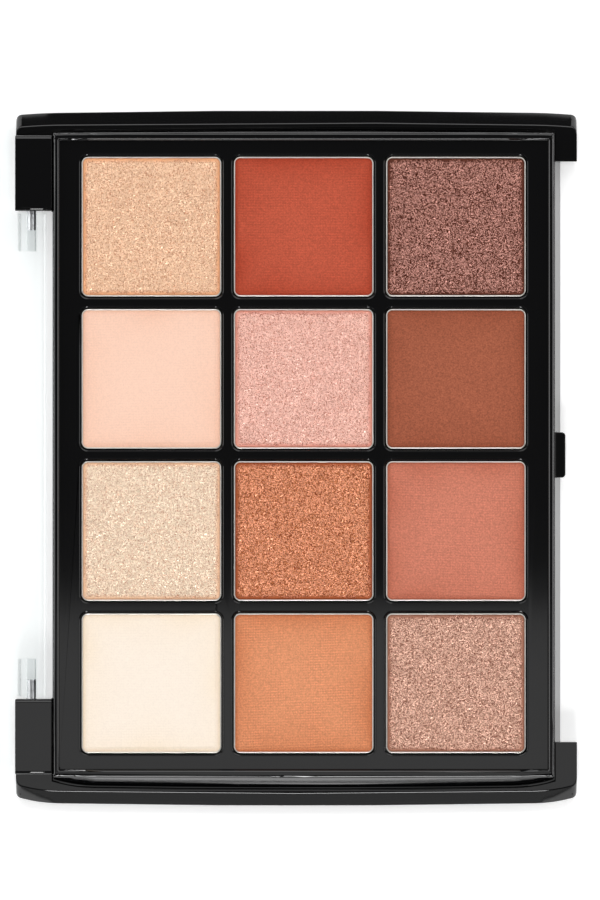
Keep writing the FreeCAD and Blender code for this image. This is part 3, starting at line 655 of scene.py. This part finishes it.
class PALETTE_PG_powder(bpy.types.PropertyGroup):
    """Shape and finish of the pressed powders."""
    matt_grid: IntProperty(
        name="Matt grid", description="Points along a matt cake", default=240)
    pearl_grid: IntProperty(
        name="Shimmer grid", description="Points along a shimmering cake", default=100)
    corner: FloatProperty(
        name="Corner", description="Corner radius of a cake in millimetres", default=0.8)
    shoulder: FloatProperty(
        name="Shoulder", description="Width of the sloping border in millimetres", default=0.95)
    cake_rise: FloatProperty(
        name="Rise", description="Height of the top above the border in millimetres", default=0.3)
    border_wander: FloatProperty(
        name="Border wander", description="Unevenness of the border in millimetres", default=0.12)
    crumb: FloatProperty(
        name="Crumb", description="Roughness of the worn border in millimetres", default=0.04)
    weave_pitch: FloatProperty(
        name="Weave pitch", description="Pitch of the press cloth in millimetres", default=0.42)
    weave_depth: FloatProperty(
        name="Weave depth", description="Depth of the press cloth's print in millimetres", default=0.02)
    # Painted shade in the print's hollows and painted light on its ridges
    hollow_shade_depth: FloatProperty(
        name="Hollow tone", description="How much deeper in tone the print's hollows are than its ridges",
        default=0.16)
    cloth_turn: FloatProperty(
        name="Cloth turn", description="Largest turn of the press cloth", default=0.06, subtype="ANGLE")
    side_tone: FloatProperty(
        name="Side tone", description="How deep a matt cake's tone is along its sides", default=0.9)
    side_reach: FloatProperty(
        name="Side reach", description="How far that tone reaches inward in millimetres", default=2.8)
    grain: FloatProperty(
        name="Grain", description="Grain of the pigment in millimetres", default=0.22)
    grain_height: FloatProperty(
        name="Grain height", description="Height of the pigment's grain in millimetres", default=0.02)
    mottle: FloatProperty(
        name="Mottle", description="Unevenness of the pigment's tone", default=0.09)
    flake_density: FloatProperty(
        name="Flake density", description="Flakes on a square millimetre", default=78.0)
    # Real mica flakes are finer than a pixel, so they are drawn as coarse as they need to show
    flake_small: FloatProperty(
        name="Smallest flake", description="Width of the smallest flake in millimetres", default=0.17)
    flake_large: FloatProperty(
        name="Largest flake", description="Width of the largest flake in millimetres", default=0.27)
    flake_tilt: FloatProperty(
        name="Flake tilt", description="Largest tilt of a flake", default=0.5, subtype="ANGLE")
    # The deepest and palest flakes are partly painted shade and painted highlight of glinting flakes
    flake_spread: FloatProperty(
        name="Flake spread", description="Depth of the deepest flakes below the shade", default=2.8)
    flake_lift: FloatProperty(
        name="Flake lift", description="How far the palest flakes are above the shade", default=2.2)
    flake_deep: FloatProperty(
        name="Deep flakes", description="Share of the deepest flakes", default=0.45)
    flake_pale: FloatProperty(
        name="Pale flakes", description="Share of the palest flakes", default=0.42)
    flake_metal: FloatProperty(
        name="Flake metal", description="Metallic share of a flake's sheen", default=0.48)
    flake_roughness: FloatProperty(
        name="Flake roughness", description="Roughness of a flake", default=0.33)


class PALETTE_PG_metal(bpy.types.PropertyGroup):
    """Finish of the pans, the pins and the glue."""
    pan_colour: colour_setting("Pan colour", "Colour of the pans", "#D9D5CE")
    pin_colour: colour_setting("Pin colour", "Colour of the hinge pins", "#DADADC")
    glue_colour: colour_setting("Glue colour", "Colour of the glue dots", "#E2DCC8")
    pan_roughness: FloatProperty(
        name="Pan roughness", description="Roughness of the pans",
        default=0.42, min=0, max=1, subtype="FACTOR")
    pin_roughness: FloatProperty(
        name="Pin roughness", description="Roughness of the hinge pins",
        default=0.4, min=0, max=1, subtype="FACTOR")
    rim_round: FloatProperty(
        name="Rim round", description="Rounding of a pan's rim in millimetres", default=0.07)


class PALETTE_PG_stage(bpy.types.PropertyGroup):
    """Paper, camera and lamps."""
    paper_colour: colour_setting("Paper colour", "Colour of the paper under the palette", "#F7F7F7")
    camera_height: FloatProperty(
        name="Camera height", description="Height above the deck", default=1.5, unit="LENGTH")
    picture_height: FloatProperty(
        name="Picture height", description="What the picture spans at the deck",
        default=0.1418, unit="LENGTH")
    camera_x: FloatProperty(
        name="Camera X", description="Place across the palette", default=-0.00058, unit="LENGTH")
    camera_y: FloatProperty(
        name="Camera Y", description="Place along the palette", default=0.00078, unit="LENGTH")
    key_power: FloatProperty(
        name="Key power", description="Power of the far softbox in watts", default=11.3)
    front_power: FloatProperty(
        name="Front power", description="Power of the near lamp in watts", default=3.3)
    side_power: FloatProperty(
        name="Side power", description="Power of each side lamp in watts", default=2.4)
    card_power: FloatProperty(
        name="Card power", description="Power of the card by the camera in watts", default=0.09)
    low_power: FloatProperty(
        name="Front card power", description="Power of the low card at the near end in watts", default=0.8)
    floor_lift: FloatProperty(
        name="Floor lift", description="Extra brightness of the paper in the picture", default=0.42)
    world: FloatProperty(
        name="World", description="Strength of the surrounding light", default=0.08)


SETTINGS = (
    ("palette_plastic", PALETTE_PG_plastic),
    ("palette_shades", PALETTE_PG_shades),
    ("palette_powder", PALETTE_PG_powder),
    ("palette_metal", PALETTE_PG_metal),
    ("palette_stage", PALETTE_PG_stage),
)


# Operators, one for each piece or group of like pieces

class PALETTE_OT_mouldings(bpy.types.Operator):
    """Round the edges of the base shell and the pan tray and make them gloss black"""
    bl_idname = "palette.mouldings"
    bl_label = "Black mouldings"

    def execute(self, context):
        settings = context.scene.palette_plastic
        material = black_gloss_plastic(settings)
        for node in ("base_shell", "pan_tray"):
            mesh = softened_mesh(node, settings.edge_round)
            new_piece(f"{node}_moulding", mesh, BASE_BODY, (node,), "black_gloss_plastic", material)
        return {"FINISHED"}


class PALETTE_OT_lid(bpy.types.Operator):
    """Make the lid a clear moulding"""
    bl_idname = "palette.lid"
    bl_label = "Clear lid"

    def execute(self, context):
        settings = context.scene.palette_plastic
        mesh = softened_mesh("lid", settings.lid_round)
        new_piece("lid_moulding", mesh, LID_BODY, ("lid",), "clear_plastic", clear_plastic(settings))
        return {"FINISHED"}


class PALETTE_OT_pans(bpy.types.Operator):
    """Round the rims of the pans and give them their satin"""
    bl_idname = "palette.pans"
    bl_label = "Metal pans"

    def execute(self, context):
        settings = context.scene.palette_metal
        material = plain_metal("pan_metal", settings.pan_colour, settings.pan_roughness)
        for row, column in SHADES:
            node = f"pan_row_{row}_column_{column}"
            mesh = softened_mesh(node, settings.rim_round)
            new_piece(f"{node}_drawn", mesh, BASE_BODY, (node,), "pan_metal", material)
        return {"FINISHED"}


class PALETTE_OT_pins(bpy.types.Operator):
    """Give the hinge pins the look of steel"""
    bl_idname = "palette.pins"
    bl_label = "Hinge pins"

    def execute(self, context):
        settings = context.scene.palette_metal
        material = plain_metal("pin_steel", settings.pin_colour, settings.pin_roughness)
        for node in ("hinge_pin_upper", "hinge_pin_lower"):
            refinish(node, material)
        return {"FINISHED"}


class PALETTE_OT_glue(bpy.types.Operator):
    """Give the glue dots their milky look"""
    bl_idname = "palette.glue"
    bl_label = "Glue dots"

    def execute(self, context):
        refinish("pan_glue_dots", hot_melt_glue(context.scene.palette_metal))
        return {"FINISHED"}


class PALETTE_OT_powders(bpy.types.Operator):
    """Press the powders: woven matt cakes, and shimmering cakes strewn with mica flakes"""
    bl_idname = "palette.powders"
    bl_label = "Pressed powders"

    def execute(self, context):
        settings = context.scene.palette_powder
        colours = context.scene.palette_shades
        group = flake_nodes()
        for (row, column), (slot, _, _, contrast, weave, grain) in SHADES.items():
            node = f"powder_row_{row}_column_{column}"
            top = getattr(colours, slot)
            border = getattr(colours, f"{slot}_border")
            seed = row * 10 + column
            shimmers = contrast > 0
            across = settings.pearl_grid if shimmers else settings.matt_grid
            mesh = cake_mesh(f"{node}_cake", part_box(node), across, seed, settings, weave)
            materials = [pressed_powder(slot, top, border, weave, grain, settings)]
            if shimmers:
                mesh.materials.append(materials[0])
                flakes = pearl_flakes(slot, top, border, contrast, settings)
                mesh = strewn_mesh(mesh, group, {
                    "Density": settings.flake_density / MM ** 2,
                    "Smallest": settings.flake_small * MM,
                    "Largest": settings.flake_large * MM,
                    "Tilt": settings.flake_tilt,
                    "Seed": seed,
                    "Flake material": flakes,
                })
                materials = []
            new_piece(f"{node}_pressed", mesh, BASE_BODY, (node,), slot, *materials)
        return {"FINISHED"}


class PALETTE_OT_stage(bpy.types.Operator):
    """Set the white floor, the studio lamps and the camera"""
    bl_idname = "palette.stage"
    bl_label = "Stage"

    def execute(self, context):
        settings = context.scene.palette_stage
        scene = context.scene
        floor_mesh = bpy.data.meshes.new("floor")
        reach = 2.0
        drop = -0.1 * MM
        corners = [(-reach, -reach, drop), (reach, -reach, drop), (reach, reach, drop), (-reach, reach, drop)]
        floor_mesh.from_pydata(corners, [], [(0, 1, 2, 3)])
        floor_mesh.materials.append(white_paper(settings))
        floor = bpy.data.objects.new("floor", floor_mesh)
        scene.collection.objects.link(floor)

        # Each lamp: name, power, width and height, place, and what it faces
        lamps = (
            ("far_softbox", settings.key_power, (1.6, 1.0), (0.0, 0.85, 1.0), (0.0, 0.0, 0.0)),
            ("near_lamp", settings.front_power, (0.24, 0.2), (0.0, -0.7, 0.6), (0.0, 0.0, 0.0)),
            ("left_softbox", settings.side_power, (0.4, 0.6), (-0.75, 0.1, 0.5), (0.0, 0.0, 0.0)),
            ("right_softbox", settings.side_power, (0.4, 0.6), (0.75, 0.1, 0.5), (0.0, 0.0, 0.0)),
            ("camera_card", settings.card_power, (0.34, 0.1), (0.0, -0.1, 1.6), (0.0, -0.1, 0.0)),
            ("front_card", settings.low_power, (1.4, 0.42), (0.0, -1.2, 0.22), (0.0, 0.0, 0.22)),
        )
        for name, power, size, place, target in lamps:
            data = bpy.data.lights.new(name, "AREA")
            data.shape = "RECTANGLE"
            data.size, data.size_y = size
            data.energy = power
            lamp = bpy.data.objects.new(name, data)
            lamp.location = place
            lamp.rotation_euler = (Vector(target) - Vector(place)).to_track_quat("-Z", "Y").to_euler()
            scene.collection.objects.link(lamp)

        world = bpy.data.worlds.new("studio")
        world.use_nodes = True
        fill(world.node_tree, world.node_tree.nodes["Background"], {
            "Color": linear("#FFFFFF"), "Strength": settings.world,
        })
        scene.world = world

        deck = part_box("pan_tray")[1][2]
        data = bpy.data.cameras.new("camera")
        data.sensor_fit = "VERTICAL"
        data.angle_y = 2 * math.atan(settings.picture_height / 2 / settings.camera_height)
        data.clip_start = 10 * MM
        camera = bpy.data.objects.new("camera", data)
        camera.location = (settings.camera_x, settings.camera_y, deck + settings.camera_height)
        camera.rotation_euler = (0.0, 0.0, 0.0)
        scene.collection.objects.link(camera)
        scene.camera = camera
        scene.view_settings.view_transform = "Standard"
        return {"FINISHED"}


class PALETTE_PT_panel(bpy.types.Panel):
    """Settings and build steps of the palette"""
    bl_idname = "PALETTE_PT_panel"
    bl_label = "Eyeshadow palette"
    bl_space_type = "VIEW_3D"
    bl_region_type = "UI"
    bl_category = "Palette"

    def draw(self, context):
        layout = self.layout
        for name, group in SETTINGS:
            box = layout.box()
            settings = getattr(context.scene, name)
            for setting in group.__annotations__:
                box.prop(settings, setting)
        for operator in OPERATORS:
            layout.operator(operator.bl_idname)


OPERATORS = (
    PALETTE_OT_mouldings, PALETTE_OT_pans, PALETTE_OT_pins, PALETTE_OT_glue, PALETTE_OT_powders,
    PALETTE_OT_lid, PALETTE_OT_stage,
)


def register():
    for name, group in SETTINGS:
        bpy.utils.register_class(group)
        setattr(bpy.types.Scene, name, PointerProperty(type=group))
    for operator in OPERATORS:
        bpy.utils.register_class(operator)
    bpy.utils.register_class(PALETTE_PT_panel)


def unregister():
    bpy.utils.unregister_class(PALETTE_PT_panel)
    for operator in reversed(OPERATORS):
        bpy.utils.unregister_class(operator)
    for name, group in reversed(SETTINGS):
        delattr(bpy.types.Scene, name)
        bpy.utils.unregister_class(group)


def main():
    register()
    bpy.ops.palette.mouldings()
    bpy.ops.palette.pans()
    bpy.ops.palette.pins()
    bpy.ops.palette.glue()
    bpy.ops.palette.powders()
    bpy.ops.palette.lid()
    bpy.ops.palette.stage()


if __name__ == "__main__":
    main()
